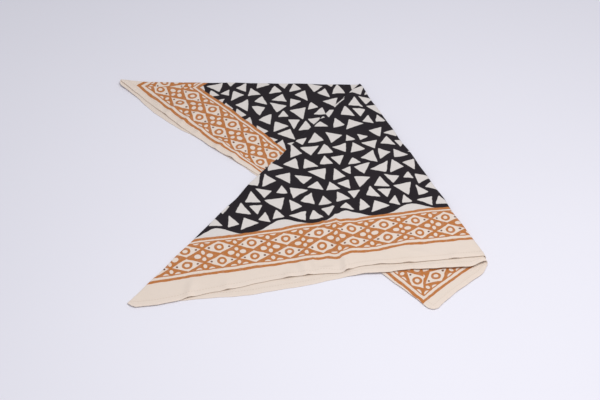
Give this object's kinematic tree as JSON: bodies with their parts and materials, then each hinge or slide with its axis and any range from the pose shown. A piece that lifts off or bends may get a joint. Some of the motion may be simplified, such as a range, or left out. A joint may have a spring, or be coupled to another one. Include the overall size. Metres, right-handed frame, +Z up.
{
  "type": "folded ajrakh cloth",
  "caption": "Square cotton cloth with block-printed border, folded corner to corner and turned over once more on a slant, lying flat with its layers a little apart.",
  "frame": {"origin": "middle of the bounding box at the surface the cloth lies on", "axes": "+X along the folded top edge to the picture's right, +Y away from the viewer, +Z up off the surface"},
  "size_m": [0.452, 0.3994, 0.0085],
  "materials": {
    "printed_cotton": "matt plain-weave cotton, block-printed near-black, rust orange and undyed cream"
  },
  "bodies": {
    "root": {"cloth": "printed_cotton"}
  },
  "joints": []
}
